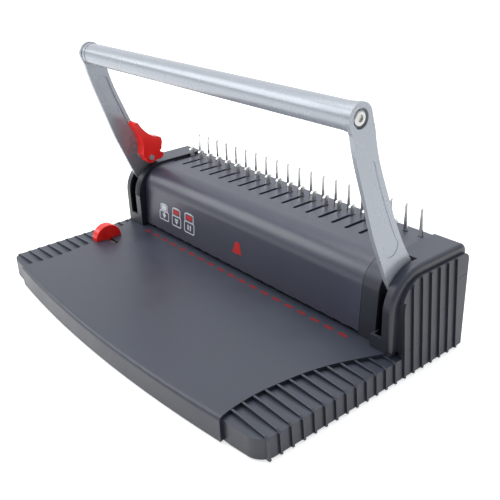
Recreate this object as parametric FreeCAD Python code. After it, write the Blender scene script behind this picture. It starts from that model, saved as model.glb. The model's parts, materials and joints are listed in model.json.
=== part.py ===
import FreeCAD, Part
import os, math
from FreeCAD import Vector as V, Placement, Rotation

os.makedirs("parts", exist_ok=True)

# ---------------------------------------------------------------- dimensions
P = 14.2875                 # comb pitch, 9/16 inch
N_HOLES = 19                # punched holes and hooks
N_FING = 20                 # upright comb fingers

FOOT_H = 1.6                # feet stand proud of the base
TRAY_Z = 20.0               # paper table surface
DECK_Z = 77.0               # comb deck surface
TOP_Z = 79.5                # end tower top
HALF_W = 175.5              # half width over the rib roots, at the floor
FIN = 1.5                   # ribs stand proud
LEAN = 4.6                  # inward lean of the side walls over 72 mm
FIN_W = 1.7
FIN_Q = 9.5                 # rib pitch
FIN_Y0 = -111.4             # first rib
TRAY_YF = -131.0            # front edge of the table at the middle
FLANK_YF = -120.5
FLANK_Z = 17.0
REAR_Y = 83.8
WALL = 2.4

PY, PZ = 33.0, 50.0         # handle shaft centre
R_TOWER = 29.5              # tower front rounding, about the shaft
SW = 70.0                   # handle swing, degrees

ARM_XI, ARM_XO = 156.8, 160.0   # arm inner and outer faces
TUBE_X = 152.4              # grip tube half length, up to the arm bosses
SEAM_X = 136.1              # right end of the cover in front, beside the flush strip
SLOT_XI, SLOT_XO = 150.9, 161.1
SLOT_BOT = 30.0
TOW_XI = 143.6              # tower inner wall face towards the cover
BAND_X = 168.8              # smooth upper band half width

GRIP_Y, GRIP_Z, GRIP_R = -21.7, 188.0, 9.0
SHAFT_R = 5.0
E_P = 8.0                   # punch crank throw
E_H = 14.0                  # hook crank throw

X_HOOK0 = 1.6               # hook slot offset from the hole grid
X_FING0 = 0.9
SLOT_Y0, SLOT_Y1, SLOT_W = 44.4, 69.6, 3.4
FING_Y, FING_T = 71.6, 1.4
PUNCH_Y = 19.0

# ------------------------------------------------------------------- helpers
def box(x0, x1, y0, y1, z0, z1):
    return Part.makeBox(x1 - x0, y1 - y0, z1 - z0, V(x0, y0, z0))

def cyl(r, p, d, h):
    return Part.makeCylinder(r, h, V(*p), V(*d))

def xcyl(r, x0, x1, y, z):
    return Part.makeCylinder(r, x1 - x0, V(x0, y, z), V(1, 0, 0))

def poly_yz(pts, x0, x1):
    w = Part.makePolygon([V(x0, y, z) for y, z in pts] + [V(x0, pts[0][0], pts[0][1])])
    return Part.Face(w).extrude(V(x1 - x0, 0, 0))

def poly_xy(pts, z0, z1):
    w = Part.makePolygon([V(x, y, z0) for x, y in pts] + [V(pts[0][0], pts[0][1], z0)])
    return Part.Face(w).extrude(V(0, 0, z1 - z0))

def poly_xz(pts, y0, y1):
    w = Part.makePolygon([V(x, y0, z) for x, z in pts] + [V(pts[0][0], y0, pts[0][1])])
    return Part.Face(w).extrude(V(0, y1 - y0, 0))

def wire_yz(segs, x):
    # segs: list of ('L', (y,z), (y,z)) or ('A', p0, pm, p1)
    es = []
    for s in segs:
        if s[0] == 'L':
            es.append(Part.LineSegment(V(x, *s[1]), V(x, *s[2])).toShape())
        else:
            es.append(Part.Arc(V(x, *s[1]), V(x, *s[2]), V(x, *s[3])).toShape())
    return Part.Wire(es)

def prof_yz(segs, x0, x1):
    return Part.Face(wire_yz(segs, x0)).extrude(V(x1 - x0, 0, 0))

def fuse(a, *more):
    more = [m for m in more if m is not None]
    if not more:
        return a
    r = a.fuse(more)
    try:
        r = r.removeSplitter()
    except Exception:
        pass
    return r

def cut(a, *tools):
    r = a
    ts = list(tools)
    if ts:
        r = a.cut(ts)
    return r

def mirx(s):
    return s.mirror(V(0, 0, 0), V(1, 0, 0))

def fillet_where(s, r, test):
    es = [e for e in s.Edges if test(e)]
    if not es:
        return s
    try:
        f = s.makeFillet(r, es)
        if f.isValid() and f.Volume > 0:
            return f
    except Exception:
        pass
    for rr in (r * 0.7, r * 0.45):
        try:
            f = s.makeFillet(rr, es)
            if f.isValid() and f.Volume > 0:
                return f
        except Exception:
            pass
    return s

OUT = {}
def put(name, *shapes):
    solids = []
    for s in shapes:
        solids += s.Solids
    OUT[name] = Part.makeCompound(solids) if len(solids) > 1 else solids[0]

def arc_pts(cy, cz, r, a0, a1, n):
    # angles in degrees measured from +Y towards +Z
    return [(cy + r * math.cos(math.radians(a0 + (a1 - a0) * i / n)),
             cz + r * math.sin(math.radians(a0 + (a1 - a0) * i / n))) for i in range(n + 1)]

def pan_screw(p, r_head, h_head, r_sh, l_sh, d=(0, 0, -1), socket=True):
    # head sits at p, shank runs along d, head stands off against d
    dv = V(*d)
    pv = V(*p)
    head = Part.makeCylinder(r_head, h_head, pv - dv * h_head, dv)
    sh = Part.makeCylinder(r_sh, l_sh, pv, dv)
    s = head.fuse([sh])
    if socket:
        a = Part.makeCylinder(r_head * 0.45, h_head * 0.55, pv - dv * h_head, dv)
        s = s.cut(a)
    return s

# ------------------------------------------------------- ends of the machine
def side_plane_cut(solid, off, zmax=90.0, sgn=1):
    # remove everything outside the leaning side plane x = HALF_W+off - LEAN*z/72
    x0 = HALF_W + off
    x1 = x0 - LEAN * zmax / 72.0
    far = HALF_W + 40
    tool = poly_xz([(x0 + LEAN * 20 / 72.0, -20), (far, -20), (far, zmax), (x1, zmax)], -200, 200)
    if sgn < 0:
        tool = mirx(tool)
    return solid.cut(tool)

def tower_segs(r, yf, ztop, yr_t, yr_b, zb, rr):
    # closed side profile: front face, front rounding about the shaft, top, rear corner
    cy, cz = PY, PZ
    a = math.radians(135)
    pm = (cy + r * math.cos(a), cz + r * math.sin(a))
    cr = (yr_t - rr, ztop - rr)
    b = math.radians(45)
    pr = (cr[0] + rr * math.cos(b), cr[1] + rr * math.sin(b))
    return [('L', (yf, zb), (yf, cz)),
            ('A', (yf, cz), pm, (cy, ztop)),
            ('L', (cy, ztop), (yr_t - rr, ztop)),
            ('A', (yr_t - rr, ztop), pr, (yr_t, ztop - rr)),
            ('L', (yr_t, ztop - rr), (yr_b, zb)),
            ('L', (yr_b, zb), (yf, zb))]

REAR_B = 77.0               # rear face at the floor
def rear_at(z):
    return REAR_B + (REAR_Y - REAR_B) * max(0.0, min(1.0, z / 72.0))

YF = PY - R_TOWER
# parting line between base and housing on the side walls (y, z)
PART_LINE = [(-5.0, 20.3), (14.0, 20.3), (22.0, 21.2), (32.0, 23.6), (42.0, 27.6),
             (50.0, 32.6), (57.0, 39.0), (63.0, 46.5), (68.0, 55.0), (95.0, 58.0)]

def above_parting(x0, x1, gap=0.0):
    pts = [(y, z + gap) for y, z in PART_LINE]
    return poly_yz([(-30, 20.3 + gap)] + pts + [(95, 120), (-30, 120)], x0, x1)

def below_parting(x0, x1, gap=0.0):
    pts = [(y, z - gap) for y, z in PART_LINE]
    return poly_yz([(-30, 20.3 - gap)] + pts + [(95, -10), (-30, -10)], x0, x1)

def skirt(sgn):
    """ribbed skirt of one end, full height, as a solid shell plate"""
    R = 22.6
    zt = PZ + R
    segs = tower_segs(R, PY - R, zt, rear_at(zt), REAR_B, FOOT_H, 5.0)
    blk = prof_yz(segs, 160.0, HALF_W + 6)
    blk = side_plane_cut(blk, 0.0)
    R2 = R - 0.9
    segs2 = tower_segs(R2, PY - R2, PZ + R2, rear_at(zt) + 0.0, REAR_B, FOOT_H, 5.0)
    rib = prof_yz(segs2, 160.0, HALF_W + 6)
    rib = side_plane_cut(rib, FIN)
    slabs = []
    for k in range(12, 20):
        y = FIN_Y0 + FIN_Q * k
        slabs.append(box(160, HALF_W + 8, y - FIN_W / 2, y + FIN_W / 2, -5, 100))
    rib = rib.common(Part.makeCompound(slabs))
    s = blk.fuse(rib.Solids)
    if sgn < 0:
        s = mirx(s)
    return s

# ---------------------------------------------------------------- base tray
def tray_edge_x(y):
    pts = [(-124, 143.2), (-114, 141.2), (-103.5, 140.0), (-93.5, 139.4), (-83.4, 139.8),
           (-73.6, 140.8), (-63.8, 142.0), (-53, 143.6), (-43.2, 146.0), (-33.2, 148.8),
           (-24.1, 152.2), (-14.3, 156.6), (-5.3, 160.6), (1.0, 163.6), (6.0, 166.0)]
    if y <= pts[0][0]:
        return pts[0][1]
    for (y0, x0), (y1, x1) in zip(pts, pts[1:]):
        if y <= y1:
            return x0 + (x1 - x0) * (y - y0) / (y1 - y0)
    return pts[-1][1]

def tray_front_y(x):
    return TRAY_YF + 8.2 * (x / 143.0) ** 2

def spline_edge(pts, z):
    c = Part.BSplineCurve()
    c.interpolate([V(x, y, z) for x, y in pts])
    return c.toShape()

def tray_plan(z0, z1, off=0.0, yback=30.0):
    """paper table outline: bowed front, waisted sides"""
    ys = [-122.6, -112, -100, -88, -76, -64, -52, -42, -32, -22, -12, -4, 4.0]
    right = [(tray_edge_x(y) - off, y + (off if y < -122 else 0)) for y in ys]
    xs = [143.2, 120, 90, 60, 30, 0, -30, -60, -90, -120, -143.2]
    fx = 143.2
    front = [(x * (fx - off) / fx, tray_front_y(x) + off) for x in xs]
    right[0] = front[0]
    left = [(-x, y) for x, y in right]
    e1 = spline_edge(right, z0)
    e2 = Part.LineSegment(V(right[-1][0], right[-1][1], z0), V(right[-1][0], yback, z0)).toShape()
    e3 = Part.LineSegment(V(right[-1][0], yback, z0), V(left[-1][0], yback, z0)).toShape()
    e4 = Part.LineSegment(V(left[-1][0], yback, z0), V(left[-1][0], left[-1][1], z0)).toShape()
    e5 = spline_edge(list(reversed(left)), z0)
    e6 = spline_edge(list(reversed(front)), z0)
    w = Part.Wire(Part.__sortEdges__([e1, e2, e3, e4, e5, e6]))
    return Part.Face(w).extrude(V(0, 0, z1 - z0))

def flank_plan(z0, z1, off, xout, rib=False):
    """outline of one flank slab, front outer corner rounded"""
    r = 13.0 - off
    yf = FLANK_YF + off
    xo = xout - off
    a = [V(120, yf, z0), V(150, yf + 0.6, z0), V(xo - r, yf + 2.0, z0)]
    e = [Part.LineSegment(a[0], a[1]).toShape(), Part.LineSegment(a[1], a[2]).toShape()]
    c = (xo - r, yf + 2.0 + r)
    m = (c[0] + r * math.cos(math.radians(-45)), c[1] + r * math.sin(math.radians(-45)))
    e.append(Part.Arc(a[2], V(m[0], m[1], z0), V(xo, c[1], z0)).toShape())
    e.append(Part.LineSegment(V(xo, c[1], z0), V(xo, 60, z0)).toShape())
    e.append(Part.LineSegment(V(xo, 60, z0), V(120, 60, z0)).toShape())
    e.append(Part.LineSegment(V(120, 60, z0), a[0]).toShape())
    return Part.Face(Part.Wire(e)).extrude(V(0, 0, z1 - z0))

ZB = FOOT_H                  # underside of the base
tray = tray_plan(ZB, TRAY_Z)
# rounded front edge of the table
tray = fillet_where(tray, 3.2, lambda e: e.BoundBox.ZMin > TRAY_Z - 0.01 and e.BoundBox.YMax < -122.0)
flankR = flank_plan(ZB, FLANK_Z, 0.0, HALF_W)
flankR = side_plane_cut(flankR, 0.0)
flankR = fillet_where(flankR, 1.2, lambda e: e.BoundBox.ZMin > FLANK_Z - 0.01 and (e.BoundBox.XMin > 160 or e.BoundBox.YMax < -110) and e.BoundBox.YMax < 59)
# ribs across the flank, flush with the table inside and falling outward
ribR = flank_plan(ZB, TRAY_Z - 0.1, 0.0, HALF_W + FIN + 3)
ribR = side_plane_cut(ribR, FIN)
slope = poly_xz([(130, TRAY_Z - 0.15), (150, TRAY_Z - 0.3), (HALF_W - 3, FLANK_Z + 1.3),
                 (HALF_W + 0.2, FLANK_Z - 0.4), (HALF_W + 8, FLANK_Z - 3.5), (HALF_W + 8, ZB - 1), (130, ZB - 1)], -200, 100)
ribR = ribR.common(slope)
slabs = [box(120, HALF_W + 12, FIN_Y0 + FIN_Q * k - FIN_W / 2, FIN_Y0 + FIN_Q * k + FIN_W / 2, -1, 40) for k in range(0, 13)]
ribR = ribR.common(Part.makeCompound(slabs))
flank = flankR.fuse(ribR.Solids)
rear_slab = poly_yz([(40, ZB), (REAR_B, ZB), (rear_at(18), 18.0), (40, 18.0)], -172, 172)
base = tray.fuse([flank, mirx(flank), rear_slab])

# hollow underneath: floor opening between 2.4 mm walls
HOL = 2.4
cav = tray_plan(ZB - 1, TRAY_Z - 2.6, HOL)
cavf = flank_plan(ZB - 1, FLANK_Z - 2.4, HOL, HALF_W - 2.0)
cavf = cavf.cut(box(100, 400, 59, 61, -5, 50))
cavs = box(-171.0, 171.0, 20, REAR_B - HOL, ZB - 1, FLANK_Z - 0.6)
base = base.cut([cav, cavf, mirx(cavf), cavs])
# the well behind the tower fronts is open upward
well = box(-168.5, 168.5, 10.5, 73.0, 10, 40)
base = base.cut(well)
# lower part of the ribbed end skirts and rear wall, up to the parting line
skR = skirt(1)
skin = box(150, 171.0, -5, 73.2, -5, 90)
lowR = skR.common(below_parting(100, 200, 0.0)).cut(skin)
skL = mirx(lowR)
rear_seg = [(REAR_B - HOL, ZB), (REAR_B, ZB), (rear_at(57), 57.0), (rear_at(57) - HOL, 57.0)]
rearw = poly_yz(rear_seg, -171.5, 171.5).common(below_parting(-200, 200, 0.0))
# drawer mouth in the rear wall
DRX = 132.0
DR_Z0, DR_Z1 = 3.4, 13.7
mouth = box(-DRX, DRX, 70, 86, DR_Z0 - 0.4, DR_Z1 + 0.4)
base = base.fuse([lowR, skL, rearw])
base = base.cut(mouth)
# locating walls under the tower fronts
fw = []
for s in (1, -1):
    b = box(146.5, 166, YF + 0.2, YF + 2.4, 12, 20.2)
    fw.append(b if s > 0 else mirx(b))
# screw bosses for the bottom plate
BOSS = [(x, y) for x in (-160, 160) for y in (-95, -35, 62)] + [(-60, -112), (60, -112)]
bosses = []
for x, y in BOSS:
    top = 18.6 if abs(x) < 140 else 15.8
    bosses.append(cut(cyl(4.2, (x, y, 3.1), (0, 0, 1), top - 3.1), cyl(1.3, (x, y, 3.0), (0, 0, 1), 8.5)))
# stiffening webs under the table
webs = []
for x in (-100, -50, 0, 50, 100):
    webs.append(box(x - 0.9, x + 0.9, -118, 8, 9.0, 18.2))
for y in (-90, -60):
    webs.append(box(-136, 136, y - 0.9, y + 0.9, 9.0, 18.2))
pad = [box(158.0, 168.6, YF - 0.2, 10.4, 14.0, 20.1)]
pad.append(mirx(pad[0]))
base = base.fuse(fw + bosses + webs + pad)
# slot of the edge guide, along X
GY = -36.0
GX0, GX1 = -146.2, -127.6
gslot = box(GX0, GX1, GY - 2.1, GY + 2.1, 10, 25)
gslot = fuse(gslot, cyl(2.1, (GX1, GY, 10), (0, 0, 1), 15))
# pad around the guide slot where the clip runs
base = base.cut([gslot, box(-147.6, -112, GY - 9, GY + 9, 8.0, 17.39)])
# narrow moulded line at the left tower foot and open die window under the throat
base = base.cut([box(-140.5, 140.5, 11.0, 40, 15, 25)])
put("base_tray", base)

# -------------------------------------------------------------- bottom plate
bp = tray_plan(ZB, ZB + 1.2, HOL + 0.3)
bpf = flank_plan(ZB, ZB + 1.2, HOL + 0.3, HALF_W - 2.3)
bpr = box(-170.4, 170.4, 20, REAR_B - HOL - 0.3, ZB, ZB + 1.2)
bottom = bp.fuse([bpf, mirx(bpf), bpr]).removeSplitter()
slots = []
for i in range(-5, 6):
    slots.append(box(i * 18 - 1.5, i * 18 + 1.5, -84, -64, 0, 5))
bottom = bottom.cut(slots + [cyl(1.8, (x, y, 0), (0, 0, 1), 4) for x, y in BOSS])
# keep clear of the lower ribs of the shell
FEET = [(-150, -105), (150, -105), (-150, -20), (150, -20), (-150, 52), (150, 52)]
bottom = bottom.cut([cyl(2.5, (x, y, 0), (0, 0, 1), 5) for x, y in FEET])
ear = box(159.6, 171.5, 72.9, 80, 0, 5)      # the end skirts are thicker here
bottom = bottom.cut([ear, mirx(ear)])
put("bottom_plate", bottom)

feet = []
for x, y in FEET:
    f = cyl(7.5, (x, y, 0), (0, 0, 1), FOOT_H - 0.02)
    f = fillet_where(f, 0.6, lambda e: e.BoundBox.ZMax < 0.01)
    plug = cyl(2.4, (x, y, FOOT_H - 0.1), (0, 0, 1), 1.9)
    barb = Part.makeCone(3.1, 1.8, 1.4, V(x, y, ZB + 1.25), V(0, 0, 1))
    feet.append(f.fuse([plug, barb]))
put("rubber_feet", *feet)

bs = []
for x, y in BOSS:
    s = pan_screw((x, y, ZB - 0.02), 2.9, 1.0, 1.22, 9.0, (0, 0, 1))
    bs.append(s)
put("bottom_screws", *bs)

# ---------------------------------------------------------- housing (towers)
def tower(sgn):
    segs = tower_segs(R_TOWER, YF, TOP_Z, REAR_Y, rear_at(20.5), 20.5, 6.6)
    t = prof_yz(segs, TOW_XI, BAND_X)
    t = fillet_where(t, 3.2, lambda e: e.BoundBox.XMin > BAND_X - 0.01 and e.BoundBox.ZMax > 21 and e.BoundBox.YMin < REAR_Y - 0.6)
    # inside
    ri = R_TOWER - WALL
    segs_i = tower_segs(ri, PY - ri, PZ + ri, REAR_Y - WALL, rear_at(20.5) - WALL, 15.0, 5.0)
    inn = prof_yz(segs_i, TOW_XI + WALL, BAND_X - WALL)
    t = t.cut(inn)
    # outer ribbed skirt above the parting line
    sk = skR.common(above_parting(100, 200, 0.25)).cut(box(150, BAND_X - 0.6, -20, 100, -10, 100))
    t = t.fuse(sk.Solids)
    # lower edge follows the parting line on the outside wall, inner wall stops on the frame
    t = t.cut(below_parting(165, 200, -0.25))
    t = t.cut(poly_yz([(rear_at(20) - 8, 10), (100, 10), (100, 58.95), (rear_at(20) - 8, 55.65)], 100, 200).common(box(100, 166.5, 0, 100, 0, 100)))
    # arm slot: front face, over the rounding and back along the top
    sl = box(SLOT_XI, SLOT_XO, YF - 2, PY - 2, SLOT_BOT, 100)
    sl = sl.fuse([box(SLOT_XI, SLOT_XO, PY - 3, PY + 4.6, PZ, 100)])
    t = t.cut(sl)
    # the housing drops over the shaft from above
    t = t.cut([xcyl(6.2, TOW_XI - 1, TOW_XI + WALL + 1, PY, PZ), box(TOW_XI - 1, TOW_XI + WALL + 1, PY - 6.2, PY + 6.2, 10, PZ)])
    if sgn < 0:
        t = mirx(t)
    return t

tR = tower(1)
# on the right the strip between cover and arm slot is flush with the cover
def strip_segs(off):
    cy, cz, cr = 31.0, 56.8, 20.2 - off
    m = math.radians(135)
    return [('L', (8.4 + off, 20.3), (10.8 + off, cz)), ('A', (10.8 + off, cz), (cy + cr * math.cos(m), cz + cr * math.sin(m)), (cy, cz + cr)),
            ('L', (cy, cz + cr), (32.7, cz + cr)), ('L', (32.7, cz + cr), (32.7, 20.3)), ('L', (32.7, 20.3), (8.4 + off, 20.3))]
out_ = prof_yz(strip_segs(0.0), SEAM_X, SLOT_XI)
inn_ = prof_yz(strip_segs(2.2), SEAM_X - 1, SLOT_XI + 1).common(box(100, 200, -10, 40, 20.3, 90))
gone = box(TOW_XI - 0.5, SLOT_XI, YF - 3, 32.7, 10, 95).cut(out_)
ramp = poly_yz([(32.7, 77.0), (56.0, 79.6), (56.0, 90), (32.7, 90)], TOW_XI - 0.5, SLOT_XI)
tR = tR.cut([gone, ramp])
strip = out_.cut(inn_)
tR = tR.fuse([strip, box(SLOT_XI, SLOT_XI + 1.8, YF, 12.0, 20.6, SLOT_BOT)])
tR = tR.cut([xcyl(6.2, SEAM_X - 1, TOW_XI + WALL + 1, PY, PZ), box(SEAM_X - 1, TOW_XI + WALL + 1, PY - 6.2, PY + 6.2, 10, PZ)])
tL = tower(-1)
# moulded ratchet teeth on the left tower between arm slot and cover
teeth = []
n_t = 34
for i in range(n_t):
    a = math.radians(100 + 78.0 * i / (n_t - 1))
    c, s = math.cos(a), math.sin(a)
    r0, r1 = R_TOWER - 0.6, R_TOWER + 0.75
    h = 0.55
    pts = [(PY + r0 * c - h * -s * 1.0, PZ + r0 * s - h * c * 1.0),
           (PY + r0 * c + h * -s * 1.0, PZ + r0 * s + h * c * 1.0),
           (PY + r1 * c + h * 0.5 * -s, PZ + r1 * s + h * 0.5 * c),
           (PY + r1 * c - h * 0.1 * -s, PZ + r1 * s - h * 0.1 * c)]
    teeth.append(poly_yz(pts, -(SLOT_XI - 0.9), -(TOW_XI + 0.8)))
tL = tL.fuse(teeth)

# rear wall joining the towers, with the top return that meets the deck
rz0 = 58.25
rw = poly_yz([(rear_at(58) - WALL, rz0), (rear_at(58), rz0), (REAR_Y, 72.0), (REAR_Y, TOP_Z - 7.0), (REAR_Y - WALL, TOP_Z - 7.0)], -150, 150)
rw = rw.common(box(-TOW_XI - 1, TOW_XI + 1, 0, 100, 0, 72.4))
housing = tL.fuse([tR, rw])
# inner bosses that take the frame screws
put("housing", housing)

# -------------------------------------------------- front cover and deck
CY, CZ, CR = 31.0, 56.8, 20.2       # cover rounding
CT = 2.2
COV_X = 143.1
def cover_segs(off):
    r = CR - off
    top = DECK_Z - off
    fy = CY - r
    a = math.radians(135)
    return r, top, fy, (CY + r * math.cos(a), CZ + r * math.sin(a))
r0, t0, f0, m0 = cover_segs(0)
r1, t1, f1, m1 = cover_segs(CT)
YB0 = 8.4                            # cover face at its lower lip
LIP_Z = 22.6
rear_in = REAR_Y
segs = [('L', (YB0, LIP_Z), (f0, CZ)),
        ('A', (f0, CZ), m0, (CY, t0)),
        ('L', (CY, t0), (REAR_Y - 3.6, t0)),
        ('A', (REAR_Y - 3.6, t0), (REAR_Y - 3.6 + 3.6 * 0.7071, t0 - 3.6 + 3.6 * 0.7071), (REAR_Y, t0 - 3.6)),
        ('L', (REAR_Y, t0 - 3.6), (REAR_Y, 72.7)),
        ('L', (REAR_Y, 72.7), (REAR_Y - 2.0, 72.7)),
        ('L', (REAR_Y - 2.0, 72.7), (REAR_Y - 2.0, t1)),
        ('L', (REAR_Y - 2.0, t1), (CY, t1)),
        ('A', (CY, t1), m1, (f1, CZ)),
        ('L', (f1, CZ), (YB0 + CT, LIP_Z)),
        ('L', (YB0 + CT, LIP_Z), (YB0, LIP_Z))]
cover = prof_yz(segs, -COV_X, COV_X)
holes = []
for k in range(N_HOLES):
    x = (k - 10) * P + X_HOOK0
    h = box(x - SLOT_W / 2, x + SLOT_W / 2, SLOT_Y0 + SLOT_W / 2, SLOT_Y1, 60, 90)
    holes.append(h)
    holes.append(cyl(SLOT_W / 2, (x, SLOT_Y0 + SLOT_W / 2, 60), (0, 0, 1), 30))
for i in range(1, N_FING + 1):
    x = (i - 10.5) * P + X_FING0
    holes.append(box(x - 2.1, x + 2.1, FING_Y - 0.5, FING_Y + FING_T + 0.5, 60, 90))
cover = cover.cut(holes)
# clearance for the strip of the right tower
cover = cover.cut(box(SEAM_X - 0.3, 160, -10, 33.0, 0, 100))
# small notches along the lip at the comb pitch
nt = []
for k in range(N_HOLES):
    x = (k - 9) * P
    nt.append(box(x - 3.2, x + 3.2, YB0 - 2, YB0 + 0.9, LIP_Z - 1, LIP_Z + 0.9))
cover = cover.cut(nt)
# under-deck bosses for the hook slide screws
SLIDE_X = (-118.0, -52.0, 52.0, 118.0)
SLIDE_Y = 51.0
HP_Z0, HP_Z1 = 67.2, 69.2            # hook carrier plate
bb = []
for x in SLIDE_X:
    x2 = round((x - X_HOOK0) / P - 0.5) * P + 0.5 * P + X_HOOK0   # between two slots
    bb.append(cyl(3.4, (x2, SLIDE_Y, HP_Z1 + 0.2), (0, 0, 1), t1 - HP_Z1 + 0.6).cut(cyl(1.9, (x2, SLIDE_Y, HP_Z1), (0, 0, 1), 5)))
SLX = [round((x - X_HOOK0) / P - 0.5) * P + 0.5 * P + X_HOOK0 for x in SLIDE_X]
ribs = []
for x in (-142.0, 141.0):
    ribs.append(box(x, x + 1.0, 50, 60, 70, t1 + 0.5))
cover = cover.fuse(bb)
put("front_cover", cover)

# ------------------------------------------------------------- steel side frames
frames = {}
for s, nm in ((-1, "side_frame_left"), (1, "side_frame_right")):
    x0, x1 = 140.6, 142.8
    pl = poly_yz([(14.5, 15.2), (72.0, 15.2), (72.0, 66.5), (44.0, 66.5), (26.0, 66.5), (14.5, 56.0)], x0, x1)
    pl = pl.cut([xcyl(8.05, x0 - 1, x1 + 1, PY, PZ),
                 xcyl(2.2, x0 - 1, x1 + 1, 62, 30), xcyl(2.2, x0 - 1, x1 + 1, 62, 56),
                 box(x0 - 1, x1 + 1, 46, 58, 24, 50)])
    fl = box(130.5, x1, 50.0, 72.0, 15.2, 17.0)   # foot flange turned inward
    fl = fl.cut(cyl(1.8, (135.5, 58.0, 14), (0, 0, 1), 5))
    pl = pl.fuse([fl]).removeSplitter()
    # hook bracket flange at the top for the finger plate
    tf = box(134.0, x1, 68.6, 70.4, 44, 66.5).cut(Part.makeCylinder(1.8, 10, V(137.2, 64, 52), V(0, 1, 0)))
    pl = pl.fuse([tf]).removeSplitter()
    put(nm, pl if s > 0 else mirx(pl))

bus = {}
for s, nm in ((-1, "shaft_bush_left"), (1, "shaft_bush_right")):
    b = xcyl(8.0, 140.2, 143.2, PY, PZ).fuse([xcyl(10.0, 138.9, 140.55, PY, PZ)])
    b = b.cut(xcyl(SHAFT_R + 0.08, 130, 150, PY, PZ))
    put(nm, b if s > 0 else mirx(b))

# ---------------------------------------------------------------- punch frame
PW, PD = 8.0, 2.9                    # punch section, width and depth
die = box(-140.3, 140.3, 12.2, 39.0, 16.8, TRAY_Z - 0.1)
GB_Z1 = 31.0
gb = box(-136.0, 136.0, 13.2, 27.0, 22.4, GB_Z1)
dh, gh = [], []
for k in range(N_HOLES):
    x = (k - 9) * P
    dh.append(box(x - PW / 2 - 0.06, x + PW / 2 + 0.06, PUNCH_Y - PD / 2 - 0.06, PUNCH_Y + PD / 2 + 0.06, 10, 40))
spx = [-133.6, 133.6]
for x in spx:
    dh.append(cyl(2.05, (x, PUNCH_Y + 4.6, 10), (0, 0, 1), 40))
gposts = (-138.2, 138.2)
die2 = die.cut(dh + [cyl(2.0, (x, 34.5, 10), (0, 0, 1), 20) for x in (-110, -40, 40, 110)])
guide = gb.cut(dh)
put("die_plate", die2)
put("punch_guide_bar", fillet_where(guide, 0.8, lambda e: abs(e.Length - 272.0) < 0.5 and e.BoundBox.ZMin > GB_Z1 - 0.1))
sp = [box(x - 2.4, x + 2.4, 20.9, 27.0, TRAY_Z - 0.08, 22.38).cut(cyl(2.05, (x, PUNCH_Y + 4.6, 10), (0, 0, 1), 40)) for x in spx]
put("die_spacers", *sp)
fs = []
for x in spx:
    b = cyl(1.98, (x, PUNCH_Y + 4.6, 15.6), (0, 0, 1), GB_Z1 + 2.1 - 15.6)
    hd = Part.makeCylinder(3.3, 1.1, V(x, PUNCH_Y + 4.6, 15.68), V(0, 0, 1))
    nut = Part.makePolygon([V(x + 3.4 * math.cos(math.radians(60 * j)), PUNCH_Y + 4.6 + 3.4 * math.sin(math.radians(60 * j)), GB_Z1 + 0.02) for j in range(7)])
    nut = Part.Face(nut).extrude(V(0, 0, 1.8))
    fs.append(b.fuse([hd, nut]))
put("frame_bolts", *fs)

# ------------------------------------------------------------- finger plate
fx0, fx1 = -138.5, 140.2
base_pl = box(-139.5, 139.5, FING_Y, FING_Y + FING_T, 46, 72.6)
# clear slots pressed through the plate
wins = [box(x - 14, x + 14, 60, 80, 52, 62) for x in (-100, -60, -20, 20, 60, 100)]
base_pl = base_pl.cut(wins)
fing = [base_pl]
for i in range(1, N_FING + 1):
    x = (i - 10.5) * P + X_FING0
    f = poly_xz([(x - 1.7, 70), (x + 1.7, 70), (x + 1.55, 80.0), (x + 1.0, 97.4), (x + 0.5, 99.3), (x - 0.5, 99.3), (x - 1.0, 97.4), (x - 1.55, 80.0)], FING_Y, FING_Y + FING_T)
    fing.append(f)
fp = fing[0].fuse(fing[1:]).removeSplitter()
fp = fp.cut([Part.makeCylinder(1.8, 10, V(x, 66, 52), V(0, 1, 0)) for x in (-137.2, 137.2)])
put("finger_comb", fp)
fsc = []
for x in (-137.2, 137.2):
    s = pan_screw((x, FING_Y + FING_T + 0.02, 52), 3.0, 1.4, 1.72, 8.0, (0, -1, 0))
    nut = Part.makePolygon([V(x + 2.9 * math.cos(math.radians(60 * j)), 68.58, 52 + 2.9 * math.sin(math.radians(60 * j))) for j in range(7)])
    nut = Part.Face(nut).extrude(V(0, -2.0, 0))
    fsc.append(s.fuse([nut]))
# spacer between flange and plate
put("finger_comb_bolts", *fsc)
spc = [Part.makeCylinder(3.4, FING_Y - 70.44, V(x, 70.42, 52), V(0, 1, 0)).cut(Part.makeCylinder(1.8, 10, V(x, 66, 52), V(0, 1, 0))) for x in (-137.2, 137.2)]
put("finger_comb_spacers", *spc)

# --------------------------------------------------- frame to base screws
fb = []
for s in (-1, 1):
    fb.append(pan_screw((s * 135.5, 58.0, 17.02), 3.0, 1.5, 1.7, 2.3, (0, 0, -1)))
put("frame_screws", *fb)

# ------------------------------------------------------------ handle assembly
th0 = math.degrees(math.atan2(-(GRIP_Y - PY), GRIP_Z - PZ))   # forward lean at rest
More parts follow.
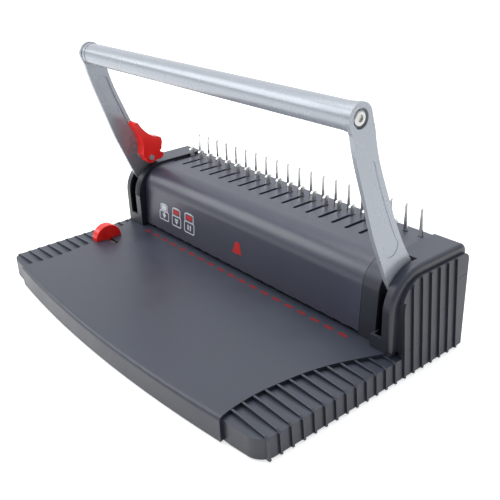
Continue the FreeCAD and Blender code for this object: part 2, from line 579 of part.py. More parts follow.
# arm outline in the (y, z) plane, front edge then rear edge
front_e = [(16.5, 57.5), (8.0, 71.5), (0.3, 90.0), (-6.8, 107.3), (-12.3, 124.0), (-18.2, 142.5), (-24.3, 161.5), (-28.4, 178.5)]
rear_e = [(-8.6, 178.4), (-1.8, 152.2), (5.2, 134.5), (10.4, 121.5), (14.8, 111.8), (23.0, 95.0), (30.6, 82.5), (38.5, 71.0)]
def arm_face(x, shrink=0.0):
    fe = [V(x, y, z) for y, z in front_e]
    re_ = [V(x, y, z) for y, z in rear_e]
    c1 = Part.BSplineCurve(); c1.interpolate(fe)
    c2 = Part.BSplineCurve(); c2.interpolate(re_)
    rt = 9.9
    g = (GRIP_Y, GRIP_Z)
    # rounded top end about the grip axis
    e1 = c1.toShape()
    e2 = c2.toShape()
    p_f = fe[-1]; p_r = re_[0]
    aF = math.atan2(p_f.z - g[1], p_f.y - g[0])
    top_m = V(x, g[0] + rt * math.cos(math.radians(105)), g[1] + rt * math.sin(math.radians(105)))
    lf = V(x, g[0] - rt, g[1] - 1.5); rg = V(x, g[0] + rt, g[1] + 1.5)
    arc = Part.Arc(lf, top_m, rg).toShape()
    l1 = Part.LineSegment(p_f, lf).toShape()
    l2 = Part.LineSegment(rg, p_r).toShape()
    # base boss about the shaft
    rb = 14.0
    b0 = fe[0]; b1 = re_[-1]
    pa = V(x, PY - rb * 0.94, PZ + rb * 0.34)
    pb = V(x, PY + rb * 0.94, PZ + rb * 0.34)
    pm = V(x, PY, PZ - rb)
    l3 = Part.LineSegment(pa, b0).toShape()
    arc2 = Part.Arc(pb, pm, pa).toShape()
    l4 = Part.LineSegment(b1, pb).toShape()
    return Part.Face(Part.Wire([e1, l1, arc, l2, e2, l4, arc2, l3]))

def make_arm(sgn):
    a = arm_face(ARM_XI).extrude(V(ARM_XO - ARM_XI, 0, 0))
    def edge(pts, z):
        q = sorted(pts, key=lambda p: p[1])
        for (y0, z0), (y1, z1) in zip(q, q[1:]):
            if z0 <= z <= z1:
                return y0 + (y1 - y0) * (z - z0) / (z1 - z0)
        return q[-1][0]
    # long shallow channel on both faces, rounded at the top
    zs = [96.0, 106.0, 116.0, 126.0, 136.0, 146.0, 156.0, 161.0]
    def channel(x0, x1, rim_f, rim_r, zs):
        f = [(edge(front_e, z) + rim_f, z) for z in zs]
        r = [(edge(rear_e, z) - rim_r, z) for z in zs]
        s_ = poly_yz(f + r[::-1], x0, x1)
        rt_ = (r[-1][0] - f[-1][0]) / 2
        rb_ = (r[0][0] - f[0][0]) / 2
        return s_.fuse([xcyl(rt_, x0, x1, (r[-1][0] + f[-1][0]) / 2, zs[-1]), xcyl(rb_, x0, x1, (r[0][0] + f[0][0]) / 2, zs[0])])
    a = a.cut(channel(ARM_XI - 1, ARM_XI + 1.1, 4.6, 3.6, zs))
    a = a.cut(channel(ARM_XO - 0.35, ARM_XO + 1, 5.6, 5.0, zs[:-1]))
    # boss that carries the grip tube
    a = a.fuse([xcyl(GRIP_R + 0.35, TUBE_X, ARM_XI + 0.5, GRIP_Y, GRIP_Z)])
    a = a.cut([xcyl(6.3, ARM_XO - 2.4, ARM_XO + 1, GRIP_Y, GRIP_Z), xcyl(2.15, TUBE_X - 1, ARM_XO + 1, GRIP_Y, GRIP_Z)])
    # square drive hole for the shaft end
    q = 4.05
    a = a.cut(box(ARM_XI - 1, ARM_XO + 1, PY - q, PY + q, PZ - q, PZ + q))
    a = fillet_where(a, 0.9, lambda e: e.BoundBox.XMin > ARM_XO - 0.01 and e.BoundBox.DiagonalLength > 11.5 and abs(e.BoundBox.XLength) < 0.01)
    return a if sgn > 0 else mirx(a)

armR = make_arm(1)
armL = make_arm(-1)
# latch pivot position on the left arm
LY, LZ = 18.4, 87.4
armL = armL.fuse([xcyl(4.6, -ARM_XI - 0.5, -152.2, LY, LZ)])
armL = armL.cut(xcyl(1.6, -ARM_XO - 1, -150.0, LY, LZ))
put("arm_right", armR)
put("arm_left", armL)

tube = xcyl(GRIP_R, -TUBE_X + 0.02, TUBE_X - 0.02, GRIP_Y, GRIP_Z).cut(xcyl(GRIP_R - 1.6, -TUBE_X - 1, TUBE_X + 1, GRIP_Y, GRIP_Z))
plugs = [xcyl(GRIP_R - 1.63, TUBE_X - 12, TUBE_X - 0.05, GRIP_Y, GRIP_Z).cut(xcyl(1.7, TUBE_X - 13, TUBE_X + 1, GRIP_Y, GRIP_Z))]
plugs.append(mirx(plugs[0]))
put("grip_tube", tube)
put("grip_plugs", plugs[0], plugs[1])
gs = []
s = pan_screw((ARM_XO - 2.38, GRIP_Y, GRIP_Z), 4.9, 2.0, 1.68, 16.0, (-1, 0, 0))
s = fillet_where(s, 1.1, lambda e: e.BoundBox.XMin > ARM_XO - 0.4 and e.BoundBox.DiagonalLength > 12)
gs = [s, mirx(s)]
put("grip_screws", *gs)

shaft = xcyl(SHAFT_R, -ARM_XI + 0.2, ARM_XI - 0.2, PY, PZ)
sq = box(ARM_XI - 0.5, ARM_XO - 0.3, PY - 4.0, PY + 4.0, PZ - 4.0, PZ + 4.0)
sq = sq.common(xcyl(SHAFT_R + 0.4, -200, 200, PY, PZ))
shaft = shaft.fuse([sq, mirx(sq)]).removeSplitter()
shaft = shaft.cut([xcyl(1.6, -170, -ARM_XO + 12, PY, PZ), xcyl(1.6, ARM_XO - 12, 170, PY, PZ)])
put("drive_shaft", shaft)
ws = []
w = xcyl(6.6, ARM_XO + 0.02, ARM_XO + 1.2, PY, PZ).fuse([xcyl(3.6, ARM_XO + 1.2, ARM_XO + 3.4, PY, PZ), xcyl(1.58, ARM_XO - 10, ARM_XO + 1.0, PY, PZ)])
put("shaft_end_screws", w, mirx(w))

# cranks: throw directions at rest, turned half a swing back from mid stroke
h2 = math.radians(SW / 2.0)
def rotp(e, base_deg, back):
    a = math.radians(base_deg) - back
    return (PY + e * math.cos(a), PZ + e * math.sin(a))
# mid-stroke punch pin points to -Y (180 deg); rest is half a swing before it
pp = rotp(E_P, 180, h2)
# mid-stroke hook pin points up (90 deg)
hp = rotp(E_H, 90, h2)
PIN_R = 2.5
def crank(x0, x1, tip, xp0, xp1, rh):
    hub = xcyl(rh, x0, x1, PY, PZ)
    tipc = xcyl(PIN_R + 1.6, x0, x1, tip[0], tip[1])
    dy, dz = tip[0] - PY, tip[1] - PZ
    L = math.hypot(dy, dz)
    ny, nz = -dz / L, dy / L
    ra, rb_ = rh * 0.95, (PIN_R + 1.6) * 0.95
    web = poly_yz([(PY + ny * ra, PZ + nz * ra), (tip[0] + ny * rb_, tip[1] + nz * rb_), (tip[0] - ny * rb_, tip[1] - nz * rb_), (PY - ny * ra, PZ - nz * ra)], x0, x1)
    c = hub.fuse([tipc, web, xcyl(PIN_R, min(x0, xp0), max(x1, xp1), tip[0], tip[1])])
    return c.cut(xcyl(SHAFT_R + 0.02, x0 - 20, x1 + 20, PY, PZ))
pc = crank(126.0, 130.0, pp, 120.4, 130.0, 7.6)
put("punch_cranks", pc, mirx(pc))
HCX = 88.0
hc = crank(HCX, HCX + 4.0, hp, HCX - 6.2, HCX + 4.0, 8.0)
put("hook_cranks", hc, mirx(hc))
put("latch_pin", xcyl(1.58, -ARM_XO + 1.0, -138.4, LY, LZ).fuse([xcyl(2.6, -139.4, -138.4, LY, LZ)]))

# ------------------------------------------------------------- punch slide
TRAV = 2 * E_P * math.sin(h2)
BAR_Z0, BAR_Z1 = 43.0, 49.0
pin_z = pp[1]
bar = box(-134.5, 134.5, 14.6, 23.4, BAR_Z0, BAR_Z1)
bh = []
for k in range(N_HOLES):
    x = (k - 9) * P
    bh.append(box(x - PW / 2 - 0.02, x + PW / 2 + 0.02, PUNCH_Y - PD / 2 - 0.02, PUNCH_Y + PD / 2 + 0.02, BAR_Z0 - 1, BAR_Z0 + 5.0))
bar = bar.cut(bh)
bar = fillet_where(bar, 0.8, lambda e: abs(e.Length - 269.0) < 0.5)
put("pressure_bar", bar)
pn = []
for k in range(N_HOLES):
    x = (k - 9) * P
    b = box(x - PW / 2, x + PW / 2, PUNCH_Y - PD / 2, PUNCH_Y + PD / 2, 23.4, BAR_Z0 + 4.98)
    # shear-ground end: shallow V across the width
    b = b.cut(poly_xz([(x - PW / 2 + 0.2, 23.3), (x + PW / 2 - 0.2, 23.3), (x, 24.6)], PUNCH_Y - 3, PUNCH_Y + 3))
    pn.append(b)
put("punch_pins", *pn)
# forks that take the crank pins, bolted on the bar's rear face
yk = []
for sg in (1, -1):
    g = PIN_R + 0.2
    f = box(120.6, 124.6, 15.4, 27.2, BAR_Z1 + 0.02, pin_z + g + 2.6)
    f = f.cut(box(119, 126, 22.3, 40, pin_z - g, pin_z + g))
    f = fillet_where(f, 2.0, lambda e: e.BoundBox.YMax < 15.5 and e.BoundBox.ZMin > pin_z + g)
    ft = box(117.0, 124.6, 15.4, 22.4, BAR_Z1 + 0.02, BAR_Z1 + 1.4)
    f = f.fuse([ft]).removeSplitter()
    yk.append(f if sg > 0 else mirx(f))
put("bar_forks", *yk)

# -------------------------------------------------------------- hook slide
HTRAV = 2 * E_H * math.sin(h2)
car = box(-145.0 + 5.0, 121.0, 46.4, 69.4, HP_Z0, HP_Z1)
ch = []
for x in SLX:
    ch.append(box(x - 2.3, x + 2.3, SLIDE_Y - 1.2, SLIDE_Y + HTRAV + 1.2, 60, 75))
    ch.append(cyl(2.3, (x, SLIDE_Y - 1.2, 60), (0, 0, 1), 15))
    ch.append(cyl(2.3, (x, SLIDE_Y + HTRAV + 1.2, 60), (0, 0, 1), 15))
hp_y = hp[0]
g = PIN_R + 0.3
tabs = []
for s in (1, -1):
    xa, xb = HCX - 5.6, HCX - 1.2
    t = box(xa - 2.0, xb + 0.0, hp_y - g - 2.0, 47.0, HP_Z0, HP_Z1)
    tabs.append(t if s > 0 else mirx(t))
# remove tails of the adjusting slots beyond the plate edge
car = car.fuse(tabs).removeSplitter()
car = car.cut(ch)
put("hook_carrier", car)
fk_ = []
for s in (1, -1):
    xa, xb = HCX - 5.2, HCX - 1.4
    pz_lo = 57.4
    a = box(xa, xb, hp_y - g - 2.0, hp_y - g, pz_lo, HP_Z0 - 0.02)
    b = box(xa, xb, hp_y + g, hp_y + g + 2.0, pz_lo, HP_Z0 - 0.02)
    c = box(xa, xb, hp_y - g - 2.0, hp_y + g + 2.0, HP_Z0 - 0.52, HP_Z0 - 0.02)
    f = a.fuse([b, c]).removeSplitter()
    fk_.append(f if s > 0 else mirx(f))
put("carrier_forks", *fk_)
hk = []
HOOK_Y = 68.6
for k in range(N_HOLES):
    x = (k - 10) * P + X_HOOK0
    t = 2.2
    pts = [(HOOK_Y - 4.4, HP_Z1 + 0.02), (HOOK_Y, HP_Z1 + 0.02), (HOOK_Y, 82.2), (HOOK_Y + 0.5, 83.0), (HOOK_Y + 1.9, 83.2),
           (HOOK_Y + 2.2, 84.0), (HOOK_Y + 1.6, 85.2), (HOOK_Y - 1.4, 85.7), (HOOK_Y - 3.4, 85.2), (HOOK_Y - 4.4, 83.8)]
    hk.append(poly_yz(pts, x - t / 2, x + t / 2))
put("opening_hooks", *hk)
ss = []
for x in SLX:
    b = cyl(1.88, (x, SLIDE_Y, HP_Z0 - 0.3), (0, 0, 1), 4.6).fuse([cyl(4.0, (x, SLIDE_Y, HP_Z0 - 2.0), (0, 0, 1), 1.7)])
    b = b.cut(cyl(1.3, (x, SLIDE_Y, HP_Z0 - 2.5), (0, 0, 1), 1.4))
    ss.append(b)
put("slide_screws", *ss)

# --------------------------------------------------------------- latch lever
LX0, LX1 = -149.9, -139.8
lat = [(3.4, 120.5), (4.4, 122.6), (6.2, 123.4), (7.8, 122.7), (10.2, 118.8), (13.4, 114.6), (17.0, 111.2), (21.0, 108.2),
       (25.5, 106.3), (29.8, 105.2), (31.6, 103.4), (32.0, 99.6), (31.2, 96.0), (30.9, 93.4), (28.8, 91.6), (29.6, 90.2),
       (32.2, 89.4), (32.5, 86.8), (31.0, 84.6), (27.0, 84.0), (22.4, 82.9)]
low = arc_pts(LY, LZ, 5.6, -50, -172, 8)
left = [(10.2, 91.5), (11.2, 96.0), (11.2, 100.5), (10.4, 105.5), (8.8, 110.6), (6.0, 115.6)]
latch = poly_yz(lat + low + left, LX0, LX1)
# finger hollow across the thumb pad
latch = latch.cut(xcyl(1.72, LX0 - 1, LX1 + 1, LY, LZ))
# pawl under the lever
latch = fillet_where(latch, 0.7, lambda e: (abs(e.BoundBox.XMin - LX1) < 0.01 or abs(e.BoundBox.XMax - LX0) < 0.01) and e.BoundBox.DiagonalLength > 3.9 and e.BoundBox.XLength < 0.01)
put("latch_lever", latch)

# spring: small torsion coil between lever and arm
def helix_x(r, wire, pitch, turns, x0, cy, cz):
    h = Part.makeHelix(pitch, pitch * turns, r)
    h.rotate(V(0, 0, 0), V(0, 1, 0), 90)
    h.translate(V(x0, cy, cz))
    e = h.Edges[0]
    p0 = e.valueAt(e.FirstParameter); d0 = e.tangentAt(e.FirstParameter)
    c = Part.Wire([Part.Circle(p0, d0, wire).toShape()])
    return Part.Wire(h.Edges).makePipeShell([c], True, True)
try:
    spr = helix_x(2.6, 0.3, 0.72, 2.0, -151.7, LY, LZ)
    put("latch_spring", spr)
except Exception as ex:
    spr = xcyl(2.9, -151.8, -150.2, LY, LZ).cut(xcyl(2.2, -152, -150, LY, LZ))
    put("latch_spring", spr)

# --------------------------------------------------------------- edge guide
KX0, KX1 = -149.0, -139.8
KX_C = (KX0 + KX1) / 2
disc = xcyl(13.2, KX0, KX1, GY, TRAY_Z + 0.25).common(box(-200, -100, -100, 20, TRAY_Z + 0.25, 60))
disc = fillet_where(disc, 1.1, lambda e: e.BoundBox.ZMax > TRAY_Z + 5 and e.BoundBox.XLength < 0.01)
KXS = -143.2
stem = box(KXS - 2.6, KXS + 2.6, GY - 1.9, GY + 1.9, 16.9, TRAY_Z + 0.3)
knob = disc.fuse([stem]).removeSplitter()
knob = knob.cut(cyl(1.2, (KXS, GY, 16.0), (0, 0, 1), 6.0))
put("guide_knob", knob)
clip = box(-147.1, -134.0, GY - 7.0, GY + 7.0, 15.2, 16.86)
clip = clip.cut(cyl(1.3, (KXS, GY, 15), (0, 0, 1), 3))
nibs = [box(-147.1, -134.0, GY + d - 0.8, GY + d + 0.8, 16.7, 17.1) for d in (-5.5, 5.5)]
put("guide_clip", clip.fuse(nibs).removeSplitter())
put("guide_screw", pan_screw((KXS, GY, 15.18), 2.6, 1.3, 1.18, 6.0, (0, 0, 1)))

# -------------------------------------------------------------- chip drawer
dy0, dy1 = 13.0, REAR_B + 1.4
dr = box(-DRX + 0.5, DRX - 0.5, dy0, dy1, DR_Z0, DR_Z1)
dr = dr.cut(box(-DRX + 2.1, DRX - 2.1, dy0 + 1.6, REAR_B - 2.2, DR_Z0 + 1.4, DR_Z1 + 2))
dr = dr.cut(box(-22, 22, REAR_B + 0.4, dy1 + 1, DR_Z0 + 3.0, DR_Z1 - 1.6))
lip = poly_yz([(REAR_B + 0.4, DR_Z1 - 1.4), (REAR_B + 1.4, DR_Z1 - 1.4), (REAR_B + 1.4, DR_Z1), (REAR_B + 0.4, DR_Z1)], -22, 22)
dr = dr.cut(box(-DRX + 1, DRX - 1, dy0 - 1, 30, DR_Z1 - 0.9, DR_Z1 + 1))
put("chip_drawer", dr)

# ------------------------------------------------------------------- export
SHIFT_Y = 23.535             # puts the origin under the middle of the bounding box
for n, s in OUT.items():
    s.translate(V(0, SHIFT_Y, 0))
    s.exportStep("parts/%s.step" % n)
print("nodes", len(OUT))
for n, s in OUT.items():
    bb_ = s.BoundBox
    print("%-20s sol %2d valid %s vol %9.1f  x %.1f..%.1f y %.1f..%.1f z %.1f..%.1f" % (n, len(s.Solids), s.isValid(), s.Volume, bb_.XMin, bb_.XMax, bb_.YMin, bb_.YMax, bb_.ZMin, bb_.ZMax))
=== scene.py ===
import json
import math

import bpy
import bmesh
from mathutils import Vector, Matrix


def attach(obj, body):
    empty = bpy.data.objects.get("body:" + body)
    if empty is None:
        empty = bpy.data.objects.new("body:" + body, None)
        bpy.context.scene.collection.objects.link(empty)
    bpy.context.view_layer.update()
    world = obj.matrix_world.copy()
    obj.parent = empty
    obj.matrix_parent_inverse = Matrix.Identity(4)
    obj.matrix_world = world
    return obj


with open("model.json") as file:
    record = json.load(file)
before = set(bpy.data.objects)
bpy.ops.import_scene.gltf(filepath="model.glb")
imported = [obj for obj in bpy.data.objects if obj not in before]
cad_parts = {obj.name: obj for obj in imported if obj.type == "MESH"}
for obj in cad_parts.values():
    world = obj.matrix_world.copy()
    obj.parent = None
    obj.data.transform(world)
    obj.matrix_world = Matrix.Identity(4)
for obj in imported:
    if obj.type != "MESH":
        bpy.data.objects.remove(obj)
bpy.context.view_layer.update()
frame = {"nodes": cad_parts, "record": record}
NODES = frame["nodes"]
MM = 0.001
YS = 23.535                    # the frame's origin lies this far in front of the design origin
P = 14.2875                    # comb pitch


def mm(x, y, z):
    """design coordinates in millimetres -> row frame in metres"""
    return Vector((x * MM, (y + YS) * MM, z * MM))


# ------------------------------------------------------------------ materials
def srgb(r, g, b):
    def f(c):
        c /= 255.0
        return c / 12.92 if c <= 0.04045 else ((c + 0.055) / 1.055) ** 2.4
    return (f(r), f(g), f(b), 1.0)


def new_mat(name):
    m = bpy.data.materials.new(name)
    m.use_nodes = True
    nt = m.node_tree
    bsdf = nt.nodes["Principled BSDF"]
    return m, nt, bsdf


def node(nt, kind, **kw):
    n = nt.nodes.new(kind)
    for k, v in kw.items():
        setattr(n, k, v)
    return n


def noise(nt, coord, scale, detail=3.0, rough=0.55, stretch=None):
    n = node(nt, "ShaderNodeTexNoise")
    n.inputs["Scale"].default_value = scale
    n.inputs["Detail"].default_value = detail
    n.inputs["Roughness"].default_value = rough
    if stretch:
        mp = node(nt, "ShaderNodeMapping")
        mp.inputs["Scale"].default_value = stretch
        nt.links.new(coord, mp.inputs["Vector"])
        nt.links.new(mp.outputs["Vector"], n.inputs["Vector"])
    else:
        nt.links.new(coord, n.inputs["Vector"])
    return n.outputs["Fac"]


def ramp(nt, fac, stops):
    r = node(nt, "ShaderNodeValToRGB")
    el = r.color_ramp.elements
    while len(el) < len(stops):
        el.new(0.5)
    for e, (p, c) in zip(el, stops):
        e.position = p
        e.color = c
    nt.links.new(fac, r.inputs["Fac"])
    return r.outputs["Color"]


def remap(nt, fac, a, b, lo, hi):
    r = node(nt, "ShaderNodeMapRange")
    r.inputs["From Min"].default_value = a
    r.inputs["From Max"].default_value = b
    r.inputs["To Min"].default_value = lo
    r.inputs["To Max"].default_value = hi
    nt.links.new(fac, r.inputs["Value"])
    return r.outputs["Result"]


def bump(nt, fac, strength, dist, prev=None):
    b = node(nt, "ShaderNodeBump")
    b.inputs["Strength"].default_value = strength
    b.inputs["Distance"].default_value = dist
    nt.links.new(fac, b.inputs["Height"])
    if prev is not None:
        nt.links.new(prev, b.inputs["Normal"])
    return b.outputs["Normal"]


def shade(c, k):
    return (c[0] * k, c[1] * k, c[2] * k, 1.0)


def plastic(name, col, rough=(0.42, 0.55), grain=3600.0, grain_amp=0.35, vary=0.10, spec=0.5, blotch=26.0, side_shade=1.0):
    """moulded ABS with a fine spark-eroded grain, faint flow mottling and handling marks"""
    m, nt, bs = new_mat(name)
    tc = node(nt, "ShaderNodeTexCoord").outputs["Object"]
    big = noise(nt, tc, blotch, 4.0, 0.6)
    mid = noise(nt, tc, 420.0, 3.0, 0.6)
    fine = noise(nt, tc, grain, 2.0, 0.5)
    mix = node(nt, "ShaderNodeMath", operation="ADD")
    nt.links.new(remap(nt, big, 0.3, 0.7, 0.0, 0.7), mix.inputs[0])
    nt.links.new(remap(nt, mid, 0.3, 0.7, 0.0, 0.3), mix.inputs[1])
    base = ramp(nt, mix.outputs[0], [(0.0, shade(col, 1.0 - vary)), (1.0, shade(col, 1.0 + vary))])
    if side_shade < 1.0:
        # look adjustment only, painted shade: upright faces are drawn darker than upward ones, as though the light
        # fell from above
        nrm = node(nt, "ShaderNodeTexCoord").outputs["Normal"]
        sp = node(nt, "ShaderNodeSeparateXYZ")
        nt.links.new(nrm, sp.inputs[0])
        k = remap(nt, sp.outputs["Z"], 0.1, 0.8, side_shade, 1.0)
        mul = node(nt, "ShaderNodeVectorMath", operation="SCALE")
        nt.links.new(base, mul.inputs[0])
        nt.links.new(k, mul.inputs["Scale"])
        base = mul.outputs[0]
    nt.links.new(base, bs.inputs["Base Color"])
    rmix = node(nt, "ShaderNodeMath", operation="ADD")
    nt.links.new(remap(nt, big, 0.3, 0.7, rough[0], rough[1]), rmix.inputs[0])
    nt.links.new(remap(nt, fine, 0.3, 0.7, -0.04, 0.04), rmix.inputs[1])
    nt.links.new(rmix.outputs[0], bs.inputs["Roughness"])
    n1 = bump(nt, fine, grain_amp, 0.00006)
    n2 = bump(nt, mid, 0.12, 0.00010, n1)
    nt.links.new(n2, bs.inputs["Normal"])
    bs.inputs["Specular IOR Level"].default_value = spec
    return m


def paint(name, col, rough=(0.30, 0.40), metal=0.55):
    """silver powder paint with fine flake"""
    m, nt, bs = new_mat(name)
    tc = node(nt, "ShaderNodeTexCoord").outputs["Object"]
    big = noise(nt, tc, 30.0, 4.0, 0.6)
    flake = noise(nt, tc, 520.0, 3.0, 0.6)
    peel = noise(nt, tc, 260.0, 1.0, 0.4)
    nt.links.new(ramp(nt, remap(nt, flake, 0.3, 0.7, 0.0, 1.0),
                      [(0.0, shade(col, 0.96)), (1.0, shade(col, 1.03))]), bs.inputs["Base Color"])
    nt.links.new(remap(nt, big, 0.3, 0.7, rough[0], rough[1]), bs.inputs["Roughness"])
    nt.links.new(bump(nt, peel, 0.02, 0.00003), bs.inputs["Normal"])
    bs.inputs["Metallic"].default_value = metal
    return m


def steel(name, col, rough=(0.24, 0.40), brush=(1.0, 1.0, 1.0), scale=700.0, amp=0.08):
    """rolled or plated steel: brushed streaks and faint staining"""
    m, nt, bs = new_mat(name)
    tc = node(nt, "ShaderNodeTexCoord").outputs["Object"]
    st = noise(nt, tc, scale, 3.0, 0.6, brush)
    big = noise(nt, tc, 60.0, 4.0, 0.6)
    nt.links.new(ramp(nt, big, [(0.25, shade(col, 0.80)), (0.75, shade(col, 1.08))]), bs.inputs["Base Color"])
    nt.links.new(remap(nt, st, 0.25, 0.75, rough[0], rough[1]), bs.inputs["Roughness"])
    nt.links.new(bump(nt, st, amp, 0.00005), bs.inputs["Normal"])
    bs.inputs["Metallic"].default_value = 1.0
    return m


def gloss(name, col, rough=(0.16, 0.26), sub=0.05):
    """glossy injection moulding with slight orange peel and a few scuffs"""
    m, nt, bs = new_mat(name)
    tc = node(nt, "ShaderNodeTexCoord").outputs["Object"]
    big = noise(nt, tc, 70.0, 4.0, 0.6)
    peel = noise(nt, tc, 520.0, 2.0, 0.5)
    nt.links.new(ramp(nt, big, [(0.25, shade(col, 0.90)), (0.75, shade(col, 1.06))]), bs.inputs["Base Color"])
    nt.links.new(remap(nt, big, 0.3, 0.7, rough[0], rough[1]), bs.inputs["Roughness"])
    nt.links.new(bump(nt, peel, 0.05, 0.00008), bs.inputs["Normal"])
    bs.inputs["Specular IOR Level"].default_value = 0.5
    return m


M = {
    # tray and housing: their upright faces get painted shade, drawn darker than their upward faces
    "tray_plastic": plastic("tray_abs", srgb(55, 60, 73), rough=(0.33, 0.43), side_shade=0.60),
    "housing_plastic": plastic("housing_abs", srgb(57, 62, 74), rough=(0.34, 0.44), side_shade=0.50),
    "cover_plastic": plastic("cover_abs", srgb(58, 62, 78), rough=(0.30, 0.38), spec=0.62),
    "black_plastic": plastic("black_abs", srgb(36, 37, 40)),
    "rubber": plastic("foot_rubber", srgb(28, 28, 28), rough=(0.75, 0.9), grain=1500.0),
    "zinc_screw": steel("zinc_screw", srgb(200, 200, 198)),
    "zinc_steel": steel("zinc_sheet", srgb(178, 180, 184), brush=(1.0, 0.15, 1.0)),
    "tool_steel": steel("ground_steel", srgb(150, 150, 155), brush=(0.1, 1.0, 1.0)),
    "comb_steel": steel("comb_steel", srgb(226, 228, 226), rough=(0.22, 0.34), brush=(1.0, 1.0, 0.12)),
    "bush_plastic": plastic("acetal", srgb(205, 205, 200), rough=(0.35, 0.45)),
    "silver_paint": paint("silver_paint", srgb(158, 163, 171), rough=(0.24, 0.32), metal=0.3),
    "red_plastic": gloss("red_abs", srgb(250, 34, 28)),
    "white_ink": plastic("white_ink", srgb(222, 226, 236), rough=(0.5, 0.6), grain=5000.0, vary=0.04),
    "red_ink": plastic("red_ink", srgb(200, 28, 30), rough=(0.5, 0.6), grain=5000.0, vary=0.06),
    "dash_ink": plastic("dash_ink", srgb(140, 16, 26), rough=(0.5, 0.6), grain=5000.0, vary=0.06),
}

SLOT_OF = {s["node"]: s["material_slot"] for s in frame["record"]["subparts"]}


def dress(o, width=0.00022, segs=2, angle=32.0):
    w = o.modifiers.new("weld", "WELD")
    w.merge_threshold = 0.000004
    b = o.modifiers.new("edge", "BEVEL")
    b.width = width
    b.segments = segs
    b.limit_method = "ANGLE"
    b.angle_limit = math.radians(angle)
    b.use_clamp_overlap = True
    b.harden_normals = False
    n = o.modifiers.new("normals", "WEIGHTED_NORMAL")
    n.keep_sharp = True
    n.weight = 60


BEVEL = {"base_tray": 0.0003, "housing": 0.0003, "front_cover": 0.0002, "arm_left": 0.0004, "arm_right": 0.0004,
         "latch_lever": 0.0, "guide_knob": 0.0, "latch_spring": 0.0, "rubber_feet": 0.0}
PIN = steel("bright_pin", srgb(232, 232, 230), rough=(0.22, 0.34))
for name, o in NODES.items():
    o.data.materials.clear()
    o.data.materials.append(PIN if name == "latch_pin" else M[SLOT_OF[name]])
    wdt = BEVEL.get(name, 0.00015)
    if wdt > 0:
        dress(o, wdt)


# ------------------------------------------------------------- small geometry
def plate(name, polys, at, u, v, n, mat, body, proud=0.00008, sunk=0.00005):
    """flat printed shapes: closed outlines in (u, v) millimetres about `at`, a hair thick"""
    bm = bmesh.new()
    for poly in polys:
        top = [bm.verts.new(at + u * (a * MM) + v * (b * MM) + n * proud) for a, b in poly]
        bot = [bm.verts.new(at + u * (a * MM) + v * (b * MM) - n * sunk) for a, b in poly]
        bm.faces.new(top)
        bm.faces.new(list(reversed(bot)))
        k = len(poly)
        for i in range(k):
            bm.faces.new((top[i], bot[i], bot[(i + 1) % k], top[(i + 1) % k]))
    bmesh.ops.recalc_face_normals(bm, faces=bm.faces)
    me = bpy.data.meshes.new(name)
    bm.to_mesh(me)
    bm.free()
    o = bpy.data.objects.new(name, me)
    bpy.context.scene.collection.objects.link(o)
    me.materials.append(mat)
    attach(o, body)
    return o


def rrect(cx, cy, w, h, r, n=4):
    pts = []
    for sx, sy, a0 in ((1, 1, 0), (-1, 1, 90), (-1, -1, 180), (1, -1, 270)):
        for i in range(n + 1):
            a = math.radians(a0 + 90.0 * i / n)
            pts.append((cx + sx * (w / 2 - r) + r * math.cos(a), cy + sy * (h / 2 - r) + r * math.sin(a)))
    return pts


def frame_strips(cx, cy, w, h, r, t, n=5):
    """outline of a rounded rectangle as a ring of small quads"""
    o = rrect(cx, cy, w, h, r, n)
    i = rrect(cx, cy, w - 2 * t, h - 2 * t, max(r - t, 0.05), n)
    k = len(o)
    return [[o[j], o[(j + 1) % k], i[(j + 1) % k], i[j]] for j in range(k)]


X, Y, Z = Vector((1, 0, 0)), Vector((0, 1, 0)), Vector((0, 0, 1))

# printed dashes on the paper table, one per punched hole
dashes = []
for k in range(19):
    dashes.append(rrect((k - 9) * P, 0.0, 8.6, 2.7, 0.6))
plate("table_dashes", dashes, mm(0, 0.2, 20.0), X, Y, Z, M["dash_ink"], "chassis")

# the cover face is flat from its lip up to the rounding
face0, face1 = Vector((0, 8.4, 22.6)), Vector((0, 10.8, 56.8))
up = (face1 - face0).normalized()
out = Vector((0, -up.z, up.y))
org = mm(0, 8.4, 22.6)


def on_face(z):
    return (z - 22.6) / up.z


white, red = [], []
# pictogram one: comb laid into the machine
def picto(cx, z0, z1, w, kind):
    v0, v1 = on_face(z0), on_face(z1)
    h = v1 - v0
    top = v0 + h * 0.56
    low_h = top - v0
    b = v0 + low_h * 0.5
    # machine body, lower half
    white.extend(frame_strips(cx, b, w, low_h, 1.9, 0.95))
    # comb part, upper half: stands on the body, narrower towards the top
    up_w = w * (0.86 if kind != 1 else 0.74)
    white.extend(frame_strips(cx, top + h * 0.20 - 0.4, up_w, h * 0.42, 1.5, 0.95))
    white.append(rrect(cx, v1 - 1.0, up_w * 0.56, 1.3, 0.45))
    if kind == 1:
        white.append(rrect(cx, top + h * 0.20 - 0.4, up_w * 0.66, h * 0.26, 0.8))
        white.append([(cx - 3.0, b + 1.1), (cx + 3.0, b + 1.1), (cx, b - 2.9)][::-1])
        white.append(rrect(cx, b + 2.0, 2.4, 2.6, 0.4))
    else:
        red.append(rrect(cx, top + h * 0.19, up_w * 0.62, h * 0.20, 0.6))
        if kind == 2:
            white.append(rrect(cx, b + 1.6, 5.4, 1.5, 0.5))
            white.append([(cx - 2.6, b + 0.2), (cx + 2.6, b + 0.2), (cx, b - 3.0)][::-1])
        else:
            white.append(rrect(cx - 1.8, b, 1.7, 5.2, 0.5))
            white.append(rrect(cx + 1.8, b, 1.7, 5.2, 0.5))


picto(-111.8, 33.6, 50.4, 15.4, 1)
picto(-91.6, 33.0, 51.6, 14.8, 2)
picto(-71.4, 32.6, 52.4, 15.8, 3)
plate("cover_pictograms", white, org, X, up, out, M["white_ink"], "chassis")
plate("cover_pictograms_red", red, org, X, up, out, M["red_ink"], "chassis", proud=0.00011)
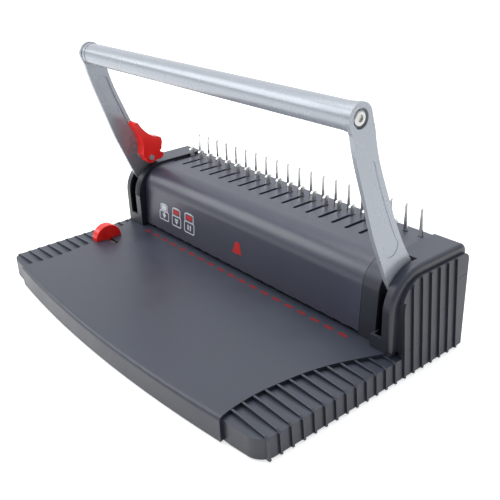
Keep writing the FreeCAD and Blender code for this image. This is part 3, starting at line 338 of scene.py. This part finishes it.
# centre mark
v0, v1 = on_face(36.0), on_face(46.5)
plate("cover_centre_mark", [[(-8.5, v0), (3.3, v0 + 0.2), (0.9, v1), (-4.7, v1)]], org, X, up, out,
      M["red_ink"], "chassis", proud=0.0001)

# ----------------------------------------------------------------------- stage
bpy.ops.mesh.primitive_plane_add(size=60.0, location=(0, 0, -0.00002))
floor = bpy.context.active_object
floor.name = "floor"
fm, nt, bs = new_mat("floor_white")
tc = node(nt, "ShaderNodeTexCoord").outputs["Object"]
nt.links.new(ramp(nt, noise(nt, tc, 2.0), [(0.0, (0.80, 0.80, 0.80, 1)), (1.0, (0.84, 0.84, 0.84, 1))]),
             bs.inputs["Base Color"])
bs.inputs["Roughness"].default_value = 0.7
bs.inputs["Specular IOR Level"].default_value = 0.1
bs.inputs["Emission Color"].default_value = (1.0, 1.0, 1.0, 1.0)
bs.inputs["Emission Strength"].default_value = 0.62
floor.data.materials.append(fm)

w = bpy.data.worlds.new("studio")
bpy.context.scene.world = w
w.use_nodes = True
wn = w.node_tree
bg = wn.nodes["Background"]
# soft room: bright above and behind, dimmer to the right and in front
wt = node(wn, "ShaderNodeTexCoord").outputs["Generated"]
sep = node(wn, "ShaderNodeSeparateXYZ")
wn.links.new(wt, sep.inputs[0])


def wmath(op, a, b):
    n = node(wn, "ShaderNodeMath", operation=op)
    for i, v in enumerate((a, b)):
        if isinstance(v, (int, float)):
            n.inputs[i].default_value = v
        else:
            wn.links.new(v, n.inputs[i])
    return n.outputs[0]


lean = wmath("ADD", wmath("MULTIPLY", sep.outputs["X"], -0.35), wmath("MULTIPLY", sep.outputs["Y"], 0.35))
lean = wmath("ADD", lean, wmath("MULTIPLY", sep.outputs["Z"], 0.55))
wr = node(wn, "ShaderNodeMapRange")
wr.inputs["From Min"].default_value = -0.5
wr.inputs["From Max"].default_value = 0.8
wr.inputs["To Min"].default_value = 0.10
wr.inputs["To Max"].default_value = 1.25
wn.links.new(lean, wr.inputs["Value"])
bg.inputs["Color"].default_value = (0.97, 0.985, 1.0, 1)
wn.links.new(wr.outputs["Result"], bg.inputs["Strength"])


def area(name, loc, target, size, energy, color=(1, 1, 1), shape="RECTANGLE"):
    d = bpy.data.lights.new(name, "AREA")
    d.shape = shape
    d.size, d.size_y = size
    d.energy = energy
    d.color = color
    o = bpy.data.objects.new(name, d)
    bpy.context.scene.collection.objects.link(o)
    o.location = loc
    o.rotation_euler = (Vector(target) - Vector(loc)).to_track_quat("-Z", "Y").to_euler()
    return o


area("top_box", (-0.35, 0.15, 1.25), (0, 0.0, 0.05), (1.5, 0.55), 9.0)
area("left_box", (-1.1, -0.8, 0.9), (0, 0.0, 0.08), (0.8, 0.8), 7.5)

# ---------------------------------------------------------------------- camera
cam = bpy.data.cameras.new("camera")
cam.sensor_width = 36.0
cam.lens = 52.513
cam.clip_start = 0.01
co = bpy.data.objects.new("camera", cam)
bpy.context.scene.collection.objects.link(co)
cx = Vector((0.63933, 0.76804, -0.03692))
cy = Vector((-0.30751, 0.29939, 0.90320))
cz = Vector((0.70475, -0.56610, 0.42759))
R = Matrix((cx, cy, cz)).transposed()
co.matrix_world = Matrix.Translation(Vector((0.43539, -0.304552, 0.300475))) @ R.to_4x4()
bpy.context.scene.camera = co
bpy.context.scene.view_settings.view_transform = "Standard"
